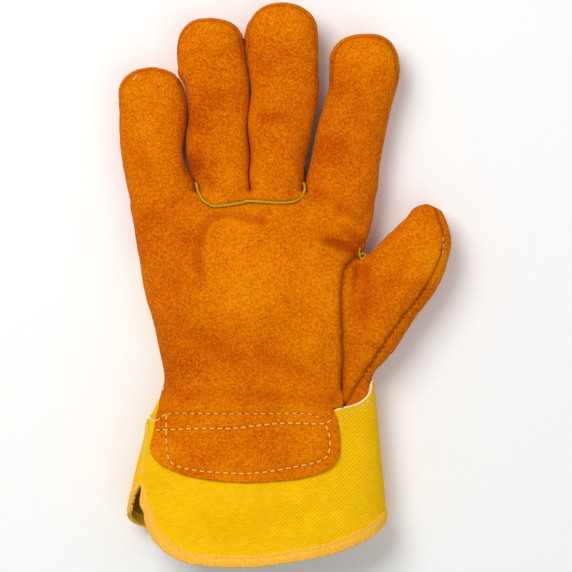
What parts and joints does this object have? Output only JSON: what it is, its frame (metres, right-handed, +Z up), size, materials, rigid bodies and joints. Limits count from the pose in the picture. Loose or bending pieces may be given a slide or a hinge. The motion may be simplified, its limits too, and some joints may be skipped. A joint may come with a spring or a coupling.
{
  "type": "rigger glove",
  "caption": "Right-hand work glove lying palm up: suede leather palm, fingers and thumb, cotton drill back and flared safety cuff with a bound edge and a slit.",
  "frame": {"origin": "middle of the glove's box from above, on the surface that it lies on", "axes": "+Y from the cuff to the fingertips, +Z up out of the palm, +X towards the thumb"},
  "size_m": [0.1578, 0.2692, 0.042],
  "materials": {
    "orange_leather": "napped split leather, matt",
    "yellow_drill": "cotton twill, matt",
    "edge_tape": "folded cotton tape, matt",
    "welt_cord": "folded cotton strip, matt"
  },
  "bodies": {
    "root": {"palm": "orange_leather", "middle_fingers_front": "orange_leather", "thumb_front": "orange_leather", "thumb_back": "orange_leather", "fourchette_little_ring": "orange_leather", "fourchette_ring_middle": "orange_leather", "fourchette_middle_index": "orange_leather", "little_back": "orange_leather", "ring_back": "orange_leather", "middle_back": "orange_leather", "index_back": "orange_leather", "knuckle_strap": "orange_leather", "back_hand": "yellow_drill", "cuff": "yellow_drill", "cuff_binding": "edge_tape", "finger_welt": "welt_cord", "thumb_welt": "welt_cord"}
  },
  "joints": []
}
